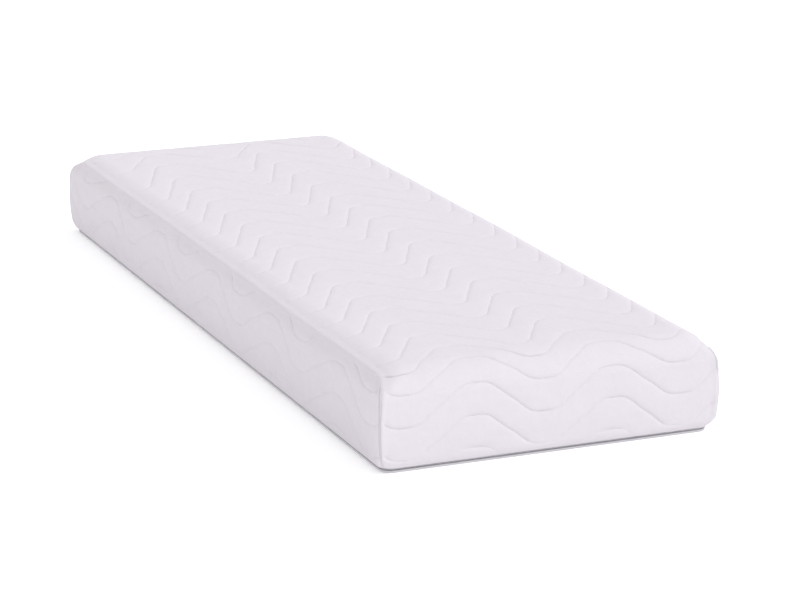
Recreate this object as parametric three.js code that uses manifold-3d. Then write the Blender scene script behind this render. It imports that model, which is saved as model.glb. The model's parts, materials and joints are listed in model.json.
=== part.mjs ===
// Single memory foam mattress with a quilted zip-off cover.
// Millimetres, +Z up. The origin is the middle of the underside, +X is across
// the bed, +Y runs from the foot end to the head end.

import * as THREE from 'three';
import { mergeVertices } from 'three/addons/utils/BufferGeometryUtils.js';
import Module from 'manifold-3d';

const wasm = await Module();
wasm.setup();

// ---- driving dimensions ----------------------------------------------------

const WIDTH = 700;
const LENGTH = 2000;
const HEIGHT = 200;

const CLEARANCE = 0.3;            // gap kept between neighbouring pieces
const CORNER_RADIUS = 20;         // upright corners of the cover, seen from above
const BASE_CORNER_RADIUS = 44;    // corners of the lower edge and of everything inside the quilt
const CORNER_GROWTH = 0.7;        // how much rounder a corner gets as the edge rolls over
const TOP_ROLL = 65;              // radius of the soft top edge
const BOTTOM_ROLL = 31;           // radius of the soft lower edge
const CORNER_STEPS = 5;
const TOP_ROLL_STEPS = 7;
const BOTTOM_ROLL_STEPS = 4;

// The quilt, from the outside in.
const FACE_THICKNESS = 1.2;       // knitted face cloth
const WADDING_THICKNESS = 12.5;   // fibre fill
const BACKING_THICKNESS = 0.8;    // non-woven backing
const WADDING_OFFSET = FACE_THICKNESS + CLEARANCE;
const BACKING_OFFSET = WADDING_OFFSET + WADDING_THICKNESS + CLEARANCE;
const QUILT_THICKNESS = BACKING_OFFSET + BACKING_THICKNESS;
const HEM_Z = 9.4;                // lower edge of the quilt
const POCKET_TOP_Z = 18.3;        // the zip tape is sewn in behind the wadding up to here
const SEAM_THICKNESS = 1.6;

// The zip, a small coil zip lying upright under the rolled lower edge.
const BOTTOM_PANEL_THICKNESS = 1.7;
const TAPE_THICKNESS = 0.6;
const TAPE_OFFSET = 12.1;         // outer face of the tape, in from the cover's outer wall
const TAPE_FLANGE = 12;           // part of the lower tape sewn down on the bottom panel
const TAPE_FLANGE_Z = BOTTOM_PANEL_THICKNESS + CLEARANCE;
const TEETH_THICKNESS = 2.2;
const TEETH_HEIGHT = 1.2;         // of one row of coil
const LOWER_TEETH_Z = 3.9;
const UPPER_TEETH_Z = 6.5;
const UPPER_TAPE_TOP_Z = POCKET_TOP_Z - CLEARANCE;
const CHAIN_BREAK_Y = 940;        // where the two ends of the chain meet
const CHAIN_BREAK_LENGTH = 12;
const CHAIN_BREAK_REACH = 40;     // of the cutter, across the chain
const STOP_LENGTH = 2.6;
const STOP_THICKNESS = 2.8;

const SLIDER_LENGTH = 11;
const SLIDER_Y = 925;
const SLIDER_BOTTOM_Z = 2.9;
const SLIDER_TOP_Z = 9.0;
const SLIDER_PLATE = 1.2;
const SLIDER_LIP_HEIGHT = 0.7;
const SLIDER_BRIDGE_HEIGHT = 1.9;
const SLIDER_BRIDGE_SPAN = 6.4;
const SLIDER_BRIDGE_BAR = 0.8;
const PULL_THICKNESS = 1.0;
const PULL_WIDTH = 5.1;
const PULL_LENGTH = 24;
const PULL_WINDOW_WIDTH = 3.1;
const PULL_WINDOW_LENGTH = 4.2;

// The core.
const CORE_OFFSET = QUILT_THICKNESS + CLEARANCE;
const CORE_BOTTOM_Z = TAPE_FLANGE_Z + TAPE_THICKNESS + CLEARANCE;
const CORE_TOP_Z = HEIGHT - CORE_OFFSET;
const MEMORY_FOAM_THICKNESS = 50;
const BOND_THICKNESS = 0.4;

const LABEL_WIDTH = 40;
const LABEL_THICKNESS = 0.4;
const LABEL_Y = 780;
const LABEL_LOW_ANGLE = -42;      // degrees round the rolled lower edge, 0 is level
const LABEL_HIGH_ANGLE = -13;
const LABEL_STEPS = 6;

const COLOURS = {
  knit: 0xe9e4eb,
  wadding: 0xf4f4f2,
  backing: 0xe6e6e4,
  memoryFoam: 0xf1efe6,
  supportFoam: 0xdfe6ea,
  bond: 0xe8dfc2,
  bottomCloth: 0xcfccd2,
  thread: 0xe4dfe6,
  tape: 0xdedbe0,
  coil: 0xd6d3d8,
  zinc: 0xb4b4b8,
  label: 0xf7f7f5,
};

// ---- solids ----------------------------------------------------------------

const mattress = new THREE.Group();

function addMesh(name, geometry, colour, roughness, metalness = 0) {
  const material = new THREE.MeshStandardMaterial({ color: colour, roughness, metalness });
  const mesh = new THREE.Mesh(geometry, material);
  mesh.name = name;
  mattress.add(mesh);
}

function toSolid(geometry) {
  const bare = geometry.clone();
  bare.deleteAttribute('normal');
  bare.deleteAttribute('uv');
  const merged = mergeVertices(bare, 1e-4);
  const vertProperties = Float32Array.from(merged.attributes.position.array);
  const triVerts = Uint32Array.from(merged.index.array);
  return new wasm.Manifold(new wasm.Mesh({ numProp: 3, vertProperties, triVerts }));
}

function toGeometry(solid) {
  const mesh = solid.getMesh();
  const geometry = new THREE.BufferGeometry();
  geometry.setAttribute('position', new THREE.BufferAttribute(mesh.vertProperties, 3));
  geometry.setIndex(new THREE.BufferAttribute(mesh.triVerts, 1));
  return geometry;
}

function box(sizeX, sizeY, sizeZ, x, y, z) {
  return toSolid(new THREE.BoxGeometry(sizeX, sizeY, sizeZ).translate(x, y, z));
}

// Outline of the mattress seen from above, drawn inwards by an offset.
function outline(offset, radius) {
  const centreX = WIDTH / 2 - offset - radius;
  const centreY = LENGTH / 2 - offset - radius;
  const points = [];
  for (let corner = 0; corner < 4; corner += 1) {
    const sideX = corner === 0 || corner === 3 ? 1 : -1;
    const sideY = corner < 2 ? 1 : -1;
    for (let step = 0; step <= CORNER_STEPS; step += 1) {
      const angle = (corner + step / CORNER_STEPS) * Math.PI / 2;
      const x = sideX * centreX + radius * Math.cos(angle);
      const y = sideY * centreY + radius * Math.sin(angle);
      points.push(new THREE.Vector2(x, y));
    }
  }
  return points;
}

// A closed skin through a stack of outlines that all have the same number of points.
function loft(levels) {
  const count = levels[0].points.length;
  const positions = levels.flatMap(({ points, z }) => points.flatMap((p) => [p.x, p.y, z]));
  const index = [];
  for (let level = 0; level < levels.length - 1; level += 1) {
    for (let i = 0; i < count; i += 1) {
      const next = (i + 1) % count;
      const a = level * count + i;
      const b = level * count + next;
      index.push(a, b, b + count, a, b + count, a + count);
    }
  }
  const top = (levels.length - 1) * count;
  for (const [i, j, k] of THREE.ShapeUtils.triangulateShape(levels[0].points, [])) {
    index.push(i, k, j, top + i, top + j, top + k);
  }
  const geometry = new THREE.BufferGeometry();
  geometry.setAttribute('position', new THREE.Float32BufferAttribute(positions, 3));
  geometry.setIndex(index);
  return toSolid(geometry);
}

// corner is the corner radius of the outer wall that the outline is concentric with.
function level(offset, inset, z, corner = BASE_CORNER_RADIUS) {
  return { points: outline(offset + inset, corner - offset - inset), z };
}

// Levels of the soft top edge, from the upright wall to the flat top.
function topRollLevels(offset, corner) {
  const radius = TOP_ROLL - offset;
  const levels = [];
  for (let step = 0; step <= TOP_ROLL_STEPS; step += 1) {
    const angle = step / TOP_ROLL_STEPS * Math.PI / 2;
    const inset = radius * (1 - Math.cos(angle));
    const z = HEIGHT - TOP_ROLL + radius * Math.sin(angle);
    levels.push(level(offset, inset, z, corner + (1 + CORNER_GROWTH) * inset));
  }
  return levels;
}

// Levels of the rolled lower edge, from the hem up to the upright wall, with
// corners that tighten on the way.
function bottomRollLevels(offset) {
  const radius = BOTTOM_ROLL - offset;
  const hemAngle = Math.asin((BOTTOM_ROLL - HEM_Z) / radius);
  const levels = [];
  for (let step = 0; step <= BOTTOM_ROLL_STEPS; step += 1) {
    const angle = hemAngle * (1 - step / BOTTOM_ROLL_STEPS);
    const inset = radius * (1 - Math.cos(angle));
    const corner = THREE.MathUtils.lerp(
      BASE_CORNER_RADIUS, CORNER_RADIUS, step / BOTTOM_ROLL_STEPS,
    );
    levels.push(level(offset, inset, BOTTOM_ROLL - radius * Math.sin(angle), corner));
  }
  return levels;
}

function rolledSolid(offset) {
  return loft([...bottomRollLevels(offset), ...topRollLevels(offset, CORNER_RADIUS)]);
}

function straightSolid(offset, bottomZ) {
  return loft([level(offset, 0, bottomZ), ...topRollLevels(offset, BASE_CORNER_RADIUS)]);
}

function plate(offset, bottomZ, topZ) {
  return loft([level(offset, 0, bottomZ), level(offset, 0, topZ)]);
}

// A closed band round the mattress, between two offsets and two heights.
function band(outerOffset, innerOffset, bottomZ, topZ) {
  const inner = plate(innerOffset, bottomZ - 1, topZ + 1);
  return plate(outerOffset, bottomZ, topZ).subtract(inner);
}

// ---- the quilted cover -----------------------------------------------------

const BELOW_HEM_Z = HEM_Z - 5;
const WEDGE_REACH = WIDTH;
const SEAM_MARGIN = (SEAM_THICKNESS / 2 + CLEARANCE) * Math.SQRT2;

// Everything on one long side of the 45-degree planes through its two upright
// corners, and of the one through its top edge. side is -1 for left, 1 for right.
function cornerWedge(side, margin) {
  const apex = (WIDTH - LENGTH) / 2 + margin;
  const spread = WEDGE_REACH - apex;
  const shape = new THREE.Shape([
    new THREE.Vector2(side * apex, 0),
    new THREE.Vector2(side * WEDGE_REACH, spread),
    new THREE.Vector2(side * WEDGE_REACH, -spread),
  ]);
  const geometry = new THREE.ExtrudeGeometry(shape, { depth: 2 * HEIGHT, bevelEnabled: false });
  return toSolid(geometry.translate(0, 0, -HEIGHT / 2));
}

function edgeWedge(side, margin) {
  const low = -HEIGHT / 2;
  const high = HEIGHT * 1.5;
  const cut = WIDTH / 2 - HEIGHT + margin;
  const shape = new THREE.Shape([
    new THREE.Vector2(side * (cut + low), low),
    new THREE.Vector2(side * WEDGE_REACH, low),
    new THREE.Vector2(side * WEDGE_REACH, high),
    new THREE.Vector2(side * (cut + high), high),
  ]);
  const geometry = new THREE.ExtrudeGeometry(shape, { depth: 2 * LENGTH, bevelEnabled: false });
  return toSolid(geometry.rotateX(Math.PI / 2).translate(0, LENGTH, 0));
}

function sideWedge(side, margin) {
  return cornerWedge(side, margin).intersect(edgeWedge(side, margin));
}

// One layer of the quilt, cut into the cloth that covers the top and both ends,
// and the two panels of the long sides.
function addQuiltLayer(layer, solid, colour, roughness) {
  let top = solid;
  for (const [name, side] of [['left', -1], ['right', 1]]) {
    const panel = solid.intersect(sideWedge(side, SEAM_MARGIN));
    addMesh(`cover_${name}_${layer}`, toGeometry(panel), colour, roughness);
    top = top.subtract(sideWedge(side, -SEAM_MARGIN));
  }
  addMesh(`cover_top_${layer}`, toGeometry(top), colour, roughness);
}

// A rolled solid that runs on below the hem, to hollow out the cloth with.
function openRoll(offset) {
  const levels = bottomRollLevels(offset);
  const below = { points: levels[0].points, z: BELOW_HEM_Z };
  return loft([below, ...levels, ...topRollLevels(offset, CORNER_RADIUS)]);
}

function faceCloth() {
  return rolledSolid(0).subtract(openRoll(FACE_THICKNESS));
}

function wadding() {
  const pocketOffset = TAPE_OFFSET - CLEARANCE;
  return rolledSolid(WADDING_OFFSET)
    .subtract(straightSolid(WADDING_OFFSET + WADDING_THICKNESS, BELOW_HEM_Z))
    .subtract(plate(pocketOffset, BELOW_HEM_Z, POCKET_TOP_Z));
}

function backing() {
  return straightSolid(BACKING_OFFSET, HEM_Z)
    .subtract(straightSolid(QUILT_THICKNESS, BELOW_HEM_Z));
}

// The sewn seams: the edges of the quilt turned in and stitched together.
function addSeams() {
  const quilt = rolledSolid(0)
    .subtract(straightSolid(QUILT_THICKNESS, BELOW_HEM_Z))
    .subtract(plate(TAPE_OFFSET - CLEARANCE, BELOW_HEM_Z, POCKET_TOP_Z));
  const reach = 2 * TOP_ROLL;
  for (const [name, side] of [['left', -1], ['right', 1]]) {
    for (const [endName, end] of [['foot', -1], ['head', 1]]) {
      const blade = new THREE.BoxGeometry(reach, SEAM_THICKNESS, 2 * HEIGHT)
        .rotateZ(side * end * Math.PI / 4)
        .translate(side * WIDTH / 2, end * LENGTH / 2, HEIGHT / 2);
      const seam = quilt.intersect(toSolid(blade)).intersect(edgeWedge(side, SEAM_MARGIN));
      addMesh(`corner_seam_${endName}_${name}`, toGeometry(seam), COLOURS.thread, 0.9);
    }
    const blade = new THREE.BoxGeometry(reach, LENGTH, SEAM_THICKNESS)
      .rotateY(-side * Math.PI / 4)
      .translate(side * WIDTH / 2, 0, HEIGHT);
    const seam = quilt.intersect(toSolid(blade)).intersect(cornerWedge(side, SEAM_MARGIN));
    addMesh(`edge_seam_${name}`, toGeometry(seam), COLOURS.thread, 0.9);
  }
}

// A blank woven care label, sewn into the hem and lying up against the roll.
function careLabel() {
  const inner = BOTTOM_ROLL + CLEARANCE;
  const outer = inner + LABEL_THICKNESS;
  const points = [];
  for (const [radius, from, to] of [
    [outer, LABEL_LOW_ANGLE, LABEL_HIGH_ANGLE],
    [inner, LABEL_HIGH_ANGLE, LABEL_LOW_ANGLE],
  ]) {
    for (let step = 0; step <= LABEL_STEPS; step += 1) {
      const angle = THREE.MathUtils.degToRad(from + (to - from) * step / LABEL_STEPS);
      const x = WIDTH / 2 - BOTTOM_ROLL + radius * Math.cos(angle);
      points.push(new THREE.Vector2(x, BOTTOM_ROLL + radius * Math.sin(angle)));
    }
  }
  const shape = new THREE.Shape(points);
  return new THREE.ExtrudeGeometry(shape, { depth: LABEL_WIDTH, bevelEnabled: false })
    .rotateX(Math.PI / 2)
    .translate(0, LABEL_Y + LABEL_WIDTH / 2, 0);
}

// ---- the zip ---------------------------------------------------------------

const ZIP_X = WIDTH / 2 - TAPE_OFFSET - TAPE_THICKNESS / 2;   // middle of the tape
const TEETH_OFFSET = TAPE_OFFSET - (TEETH_THICKNESS - TAPE_THICKNESS) / 2;

function lowerTape() {
  const wallTop = LOWER_TEETH_Z - CLEARANCE;
  const wall = band(TAPE_OFFSET, TAPE_OFFSET + TAPE_THICKNESS, TAPE_FLANGE_Z, wallTop);
  const flangeTop = TAPE_FLANGE_Z + TAPE_THICKNESS;
  return wall.add(band(TAPE_OFFSET, TAPE_OFFSET + TAPE_FLANGE, TAPE_FLANGE_Z, flangeTop));
}

function upperTape() {
  const bottom = UPPER_TEETH_Z + TEETH_HEIGHT + CLEARANCE;
  return band(TAPE_OFFSET, TAPE_OFFSET + TAPE_THICKNESS, bottom, UPPER_TAPE_TOP_Z);
}

// One row of coil, a band that is broken where the two ends of the chain meet.
function teeth(bottomZ) {
  const row = band(TEETH_OFFSET, TEETH_OFFSET + TEETH_THICKNESS, bottomZ, bottomZ + TEETH_HEIGHT);
  const cutter = box(
    CHAIN_BREAK_REACH, CHAIN_BREAK_LENGTH, CHAIN_BREAK_REACH, ZIP_X, CHAIN_BREAK_Y, bottomZ,
  );
  return row.subtract(cutter);
}

function addChainStops() {
  const inset = CHAIN_BREAK_LENGTH / 2 - CLEARANCE - STOP_LENGTH / 2;
  for (const [endName, end] of [['end', -1], ['start', 1]]) {
    for (const [rowName, bottomZ] of [['lower', LOWER_TEETH_Z], ['upper', UPPER_TEETH_Z]]) {
      const stop = new THREE.BoxGeometry(STOP_THICKNESS, STOP_LENGTH, TEETH_HEIGHT)
        .translate(ZIP_X, CHAIN_BREAK_Y + end * inset, bottomZ + TEETH_HEIGHT / 2);
      addMesh(`zip_${endName}_stop_${rowName}`, stop, COLOURS.zinc, 0.35, 0.9);
    }
  }
}

const SLIDER_GAP = 2.8;           // between the slider's two plates
const SLIDER_FRONT_X = ZIP_X + SLIDER_GAP / 2 + SLIDER_PLATE;
const PULL_X = SLIDER_FRONT_X + CLEARANCE + PULL_THICKNESS / 2;
const SLIDER_MIDDLE_Z = (SLIDER_BOTTOM_Z + SLIDER_TOP_Z) / 2;

// Two plates held apart by a thin wedge between the rows of teeth, with lips
// that hook under the lower row, and the bridge that carries the pull.
function slider() {
  const height = SLIDER_TOP_Z - SLIDER_BOTTOM_Z;
  const wedgeBottom = LOWER_TEETH_Z + TEETH_HEIGHT + CLEARANCE;
  const wedgeHeight = UPPER_TEETH_Z - CLEARANCE - wedgeBottom;
  let body = box(
    SLIDER_GAP + SLIDER_PLATE, SLIDER_LENGTH / 2, wedgeHeight,
    ZIP_X, SLIDER_Y, wedgeBottom + wedgeHeight / 2,
  );
  const lipWidth = SLIDER_GAP / 2 - TAPE_THICKNESS / 2 - CLEARANCE;
  for (const side of [-1, 1]) {
    const plateX = ZIP_X + side * (SLIDER_GAP + SLIDER_PLATE) / 2;
    body = body.add(box(SLIDER_PLATE, SLIDER_LENGTH, height, plateX, SLIDER_Y, SLIDER_MIDDLE_Z));
    const lipX = ZIP_X + side * (SLIDER_GAP - lipWidth + SLIDER_PLATE / 2) / 2;
    const lipZ = SLIDER_BOTTOM_Z + SLIDER_LIP_HEIGHT / 2;
    const lip = box(
      lipWidth + SLIDER_PLATE / 2, SLIDER_LENGTH, SLIDER_LIP_HEIGHT, lipX, SLIDER_Y, lipZ,
    );
    body = body.add(lip);
  }
  return body.add(sliderBridge());
}

function sliderBridge() {
  const rise = 2 * CLEARANCE + PULL_THICKNESS + SLIDER_BRIDGE_BAR;
  const root = SLIDER_PLATE / 2;
  const outer = box(
    rise + root, SLIDER_BRIDGE_SPAN, SLIDER_BRIDGE_HEIGHT,
    SLIDER_FRONT_X + (rise - root) / 2, SLIDER_Y, SLIDER_MIDDLE_Z,
  );
  const opening = box(
    rise - SLIDER_BRIDGE_BAR, SLIDER_BRIDGE_SPAN - 2 * SLIDER_BRIDGE_BAR, 2 * SLIDER_BRIDGE_HEIGHT,
    SLIDER_FRONT_X + (rise - SLIDER_BRIDGE_BAR) / 2, SLIDER_Y, SLIDER_MIDDLE_Z,
  );
  return outer.subtract(opening);
}

// A flat tab whose end is a window: the bar of the window turns under the bridge.
function pull() {
  const half = PULL_WIDTH / 2;
  const barHalf = PULL_THICKNESS / 2;
  const tipY = PULL_LENGTH - half;
  const shape = new THREE.Shape();
  shape.moveTo(-half, -barHalf);
  shape.lineTo(half, -barHalf);
  shape.lineTo(half, tipY);
  shape.absarc(0, tipY, half, 0, Math.PI, false);
  shape.lineTo(-half, -barHalf);
  const window = PULL_WINDOW_WIDTH / 2;
  shape.holes.push(new THREE.Path([
    new THREE.Vector2(-window, barHalf),
    new THREE.Vector2(-window, barHalf + PULL_WINDOW_LENGTH),
    new THREE.Vector2(window, barHalf + PULL_WINDOW_LENGTH),
    new THREE.Vector2(window, barHalf),
  ]));
  return new THREE.ExtrudeGeometry(shape, {
    depth: PULL_THICKNESS, bevelEnabled: false, curveSegments: 10,
  })
    .translate(0, 0, -PULL_THICKNESS / 2)
    .rotateY(-Math.PI / 2)
    .translate(PULL_X, SLIDER_Y, SLIDER_MIDDLE_Z);
}

// ---- the core --------------------------------------------------------------

const MEMORY_FOAM_Z = CORE_TOP_Z - MEMORY_FOAM_THICKNESS;
const BOND_Z = MEMORY_FOAM_Z - CLEARANCE - BOND_THICKNESS;

function memoryFoam() {
  const slab = plate(0, MEMORY_FOAM_Z, HEIGHT);
  return straightSolid(CORE_OFFSET, BELOW_HEM_Z).intersect(slab);
}

// ---- assembly --------------------------------------------------------------

addMesh(
  'bottom_panel', toGeometry(plate(TAPE_OFFSET, 0, BOTTOM_PANEL_THICKNESS)),
  COLOURS.bottomCloth, 0.95,
);
addMesh(
  'support_foam', toGeometry(plate(CORE_OFFSET, CORE_BOTTOM_Z, BOND_Z - CLEARANCE)),
  COLOURS.supportFoam, 0.95,
);
addMesh(
  'foam_bond', toGeometry(plate(CORE_OFFSET, BOND_Z, BOND_Z + BOND_THICKNESS)),
  COLOURS.bond, 0.6,
);
addMesh('memory_foam', toGeometry(memoryFoam()), COLOURS.memoryFoam, 0.9);

addQuiltLayer('face', faceCloth(), COLOURS.knit, 0.85);
addQuiltLayer('wadding', wadding(), COLOURS.wadding, 1);
addQuiltLayer('backing', backing(), COLOURS.backing, 0.95);
addSeams();
addMesh('care_label', careLabel(), COLOURS.label, 0.7);

addMesh('zip_tape_lower', toGeometry(lowerTape()), COLOURS.tape, 0.85);
addMesh('zip_tape_upper', toGeometry(upperTape()), COLOURS.tape, 0.85);
addMesh('zip_teeth_lower', toGeometry(teeth(LOWER_TEETH_Z)), COLOURS.coil, 0.5);
addMesh('zip_teeth_upper', toGeometry(teeth(UPPER_TEETH_Z)), COLOURS.coil, 0.5);
addChainStops();
addMesh('zip_slider', toGeometry(slider()), COLOURS.zinc, 0.35, 0.9);
addMesh('zip_pull', pull(), COLOURS.zinc, 0.35, 0.9);

export default mattress;
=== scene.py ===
import json
import math

import bmesh
import bpy
import numpy as np
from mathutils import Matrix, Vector


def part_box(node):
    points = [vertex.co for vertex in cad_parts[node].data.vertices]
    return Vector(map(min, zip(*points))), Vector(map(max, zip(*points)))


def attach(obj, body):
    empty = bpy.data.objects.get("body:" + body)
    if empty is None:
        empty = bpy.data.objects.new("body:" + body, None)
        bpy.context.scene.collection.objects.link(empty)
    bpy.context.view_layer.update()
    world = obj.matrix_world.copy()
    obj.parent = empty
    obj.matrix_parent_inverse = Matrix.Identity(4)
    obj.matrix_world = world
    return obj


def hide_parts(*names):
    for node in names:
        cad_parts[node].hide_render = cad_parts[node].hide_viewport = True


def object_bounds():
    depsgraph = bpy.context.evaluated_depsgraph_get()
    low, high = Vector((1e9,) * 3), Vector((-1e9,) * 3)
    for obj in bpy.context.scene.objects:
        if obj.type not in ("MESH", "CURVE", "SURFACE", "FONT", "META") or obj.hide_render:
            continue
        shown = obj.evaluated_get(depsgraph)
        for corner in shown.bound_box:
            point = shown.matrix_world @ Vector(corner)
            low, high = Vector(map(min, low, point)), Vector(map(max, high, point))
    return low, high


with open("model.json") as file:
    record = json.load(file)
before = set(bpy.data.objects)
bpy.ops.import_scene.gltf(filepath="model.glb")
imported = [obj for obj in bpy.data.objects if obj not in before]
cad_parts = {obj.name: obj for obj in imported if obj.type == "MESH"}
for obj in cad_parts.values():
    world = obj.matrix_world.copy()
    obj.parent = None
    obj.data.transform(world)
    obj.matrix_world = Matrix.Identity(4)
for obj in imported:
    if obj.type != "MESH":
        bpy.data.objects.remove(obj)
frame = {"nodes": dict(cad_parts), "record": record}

CAD_LOW, CAD_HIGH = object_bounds()

# ---- sizes, all in metres, from the frame ------------------------------------

HALF_WIDTH = (CAD_HIGH[0] - CAD_LOW[0]) / 2
HALF_LENGTH = (CAD_HIGH[1] - CAD_LOW[1]) / 2
HEIGHT = CAD_HIGH[2] - CAD_LOW[2]
HEM_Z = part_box("cover_top_face")[0].z
CORE_OFFSET = HALF_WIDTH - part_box("support_foam")[1].x
TAPE_OFFSET = HALF_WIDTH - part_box("zip_tape_upper")[1].x
TEETH_OFFSET = HALF_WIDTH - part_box("zip_teeth_upper")[1].x

TOP_ROLL = 0.065            # radius of the soft top edge
BOTTOM_ROLL = 0.031         # radius of the rolled lower edge
CORE_GAP = 0.0002           # between the foam and the room that the cover leaves it
FOAM_CORNER = 0.006         # by which the foam's corners are rounder than the cover's
FOAM_CORNER_ANGLE = 0.4     # of its top roll, by which they are
CORNER_RADIUS = 0.010       # upright corners, seen from above
BASE_CORNER = 0.036         # corners of the lower edge and of everything inside
SEAM_SHARE = 1 - math.sqrt(0.5)     # depth of a 45-degree seam, in bend radii
CROWN = 0.0045              # how far the edges of the top lie below its middle
WALL_BULGE = 0.003          # how far the walls belly out, half way up
HEM_FOLD = 0.0027           # cloth turned in under the cover, up to the zip tape

FACE_DEPTH = 0.0062         # from the cover's outside to the fibre fill under the stitching
FILL_DEPTH = 0.0140         # to the back of the fill
BACKING_DEPTH = 0.0143
BACKING_END = 0.0151
FILL_START = 0.0070         # up from the hem along the cloth, clear of the zip tape
FILL_Z = 0.0186

# ---- the quilting pattern ----------------------------------------------------

WAVELENGTH = 0.272          # across the bed, on the top and both ends
SIDE_WAVELENGTH = 0.362     # along the bed, on the long sides
WAVE_FLATNESS = 0.036       # fifth harmonic: broad crests, and a step halfway down
END_PITCH = 0.064           # from one line of stitching to the next, up an end or side
END_SWING = 0.0365          # half the height of a wave there
FIRST_LINE = -0.012         # the lowest line's middle, up from the hem
TOP_PITCH = 0.096           # along the top at the foot end, and how it grows
TOP_PITCH_GROWTH = 0.018    # per metre towards the head end
TOP_SWING = 0.060
TOP_SWING_GROWTH = 0.0165
TOP_SLANT = 0.03            # how far a line runs towards the head as it crosses the bed
TOP_SLANT_GROWTH = 0.14
END_CREST = -0.152          # where a crest stands, across the bed
TOP_CREST = -0.181
SIDE_CREST = -0.427         # and along a long side
TOP_SKEW = 0.44             # radians by which a trough comes late
SIDE_SKEW = 0.55
TURN_START = 0.19           # where the ends' pattern gives way to the top's,
TURN_END = 0.30             # in from the hem along the cloth
HEAD_TURN_END = 0.45        # the same at the head end, where the waves are taller
HEAD_SLANT_END = 0.74       # where the lines' slant starts to fade towards the head's hem

END_STITCH = 0.0028         # depth of the crease at a line of stitching, on the ends
TOP_STITCH = 0.0025
SIDE_STITCH = 0.0011
FLANK_SLOPE = 0.4           # slope at which a line counts as a wave's flank
END_FADE = 0.65             # how much shallower the crease is on a rising flank, on the ends
TOP_FADE = 0.45             # and on a falling flank, on the top
STITCH_ABOVE = 0.0042       # width of a crease above its line
STITCH_BELOW = 0.0025       # and below, where the quilt bellies out
STITCH_LEVEL = 0.0045       # and on the level top
SEAM_DEPTH = 0.0013         # of the groove that a seam lies in
SEAM_WIDTH = 0.0020
EDGE_SEAM_SHARE = 0.10      # of that depth, along the top edges
PILLOW_DEPTH = 0.0024       # of the soft pillow between two lines
PUCKER_DEPTH = 0.0007       # of the small wrinkles that cross the stitching
PUCKER_REACH = 0.012
PUCKER_LENGTHS = (0.019, 0.027, 0.041)
BEND_STEP = 0.004           # mesh size of the inner layers, over a bend
BEND_STEPS = 5              # of these to one on the flat
BEND_ROOM = 0.012
PUCKER_TURN = 2.4           # radians by which a line's wrinkles differ from the next line's
PUCKER_START = 1.7
PUCKER_BEAT = 3.1           # wrinkles' lengths, over which they grow and fade
CROWDING = 1.9              # how strongly mesh rows crowd up to the stitching
HEM_FADE = (0.002, 0.030)   # from a hem or a seam, over which the quilting deepens
SEAM_FADE = (0.001, 0.014)
TOP_EDGE_FADE = (0.002, 0.012)
GROOVE_FADE = 0.010         # up from the hem, over which a seam's groove deepens
LAYER_REACH = 0.998         # of the way to a seam
LAYER_TOP_GAP = 0.0015      # from the seam along the top edge
EDGE_COLUMNS = (0.0007, 0.0015, 0.0026)     # extra mesh columns, in from a panel's edge
FINE_SUB_ROWS = 16          # mesh rows from one line of stitching to the next
TOP_COLUMNS = 170
SIDE_COLUMNS = 440

# ---- the cloth simulation ------------------------------------------------------

SIM_SUB_ROWS = 8            # mesh rows from one line of stitching to the next
SIM_TOP_COLUMNS = 90
SIM_SIDE_COLUMNS = 230
PIN_EDGE = 0.004
PRESSURE = 4.0
CLOTH_MASS = 0.25
CLOTH_STIFFNESS = 25
CLOTH_BENDING = 2.0
CLOTH_DAMPING = 5
CLOTH_SLACK = 0.004
SWELL_FRAMES = 16
SWELL_CAP = 0.005


def smooth(low, high, x):
    """0 below low, 1 above high, and an even curve between."""
    t = np.clip((x - low) / (high - low), 0, 1)
    return t * t * (3 - 2 * t)


def mix(a, b, t):
    return a + (b - a) * t


def wave(cycles, skew):
    """A broad-crested wave between -1 and 1, with a crest where cycles is whole."""
    turn = 2 * math.pi * cycles
    turn = turn - skew * (1 - np.cos(turn)) / 2
    return (np.cos(turn) - WAVE_FLATNESS * np.cos(5 * turn)) / (1 - WAVE_FLATNESS)


# ---- the shape of the mattress under the quilting ----------------------------

HEM_ANGLE = math.asin((BOTTOM_ROLL - HEM_Z) / BOTTOM_ROLL)
LOW_ARC = BOTTOM_ROLL * HEM_ANGLE
WALL_TOP = HEIGHT - TOP_ROLL
WALL_HEIGHT = WALL_TOP - BOTTOM_ROLL
ROLL_START = LOW_ARC + WALL_HEIGHT
ROLL_ARC = TOP_ROLL * math.pi / 2
ROLL_END = ROLL_START + ROLL_ARC
CLOTH_LENGTH = 2 * ROLL_END + 2 * (HALF_LENGTH - TOP_ROLL)
SIDE_HEIGHT = ROLL_START + ROLL_ARC / 2
STRAIGHT_DROP = (BOTTOM_ROLL - FILL_Z) / (LOW_ARC - FILL_START)
NEVER_ZERO = 1e-9
PROFILE_STEPS = 400
NORMAL_STEPS = (1e-3, 5e-4)     # across and along, over which a slope is taken
HEM_ROOM = 0.012            # in which rows beyond a hem crowd up
EDGE_SHAPE = 10             # how far out along the bed the top stays level
# small waves in the top: height, turns along and across in radians a metre, and start
WAVERS = ((0.0011, 5.1, 0.0, 1.3), (0.0008, 11.3, 7.0, 0.0))
ROUNDING_ANGLE = 0.75 * math.pi / 2     # of the top roll, by which a corner is fully round


def crown(x, y, z, roll=TOP_ROLL):
    """Lets the edges of the top lie a little lower, and its long lines waver."""
    level = np.clip((z - WALL_TOP) / roll, 0, 1)
    bulge = (1 - (x / HALF_WIDTH) ** 2) * (1 - (y / HALF_LENGTH) ** EDGE_SHAPE)
    waver = sum(
        rise * np.sin(along * y + across * x + start) for rise, along, across, start in WAVERS
    )
    return z + level * (CROWN * (bulge - 1) + waver)


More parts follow.
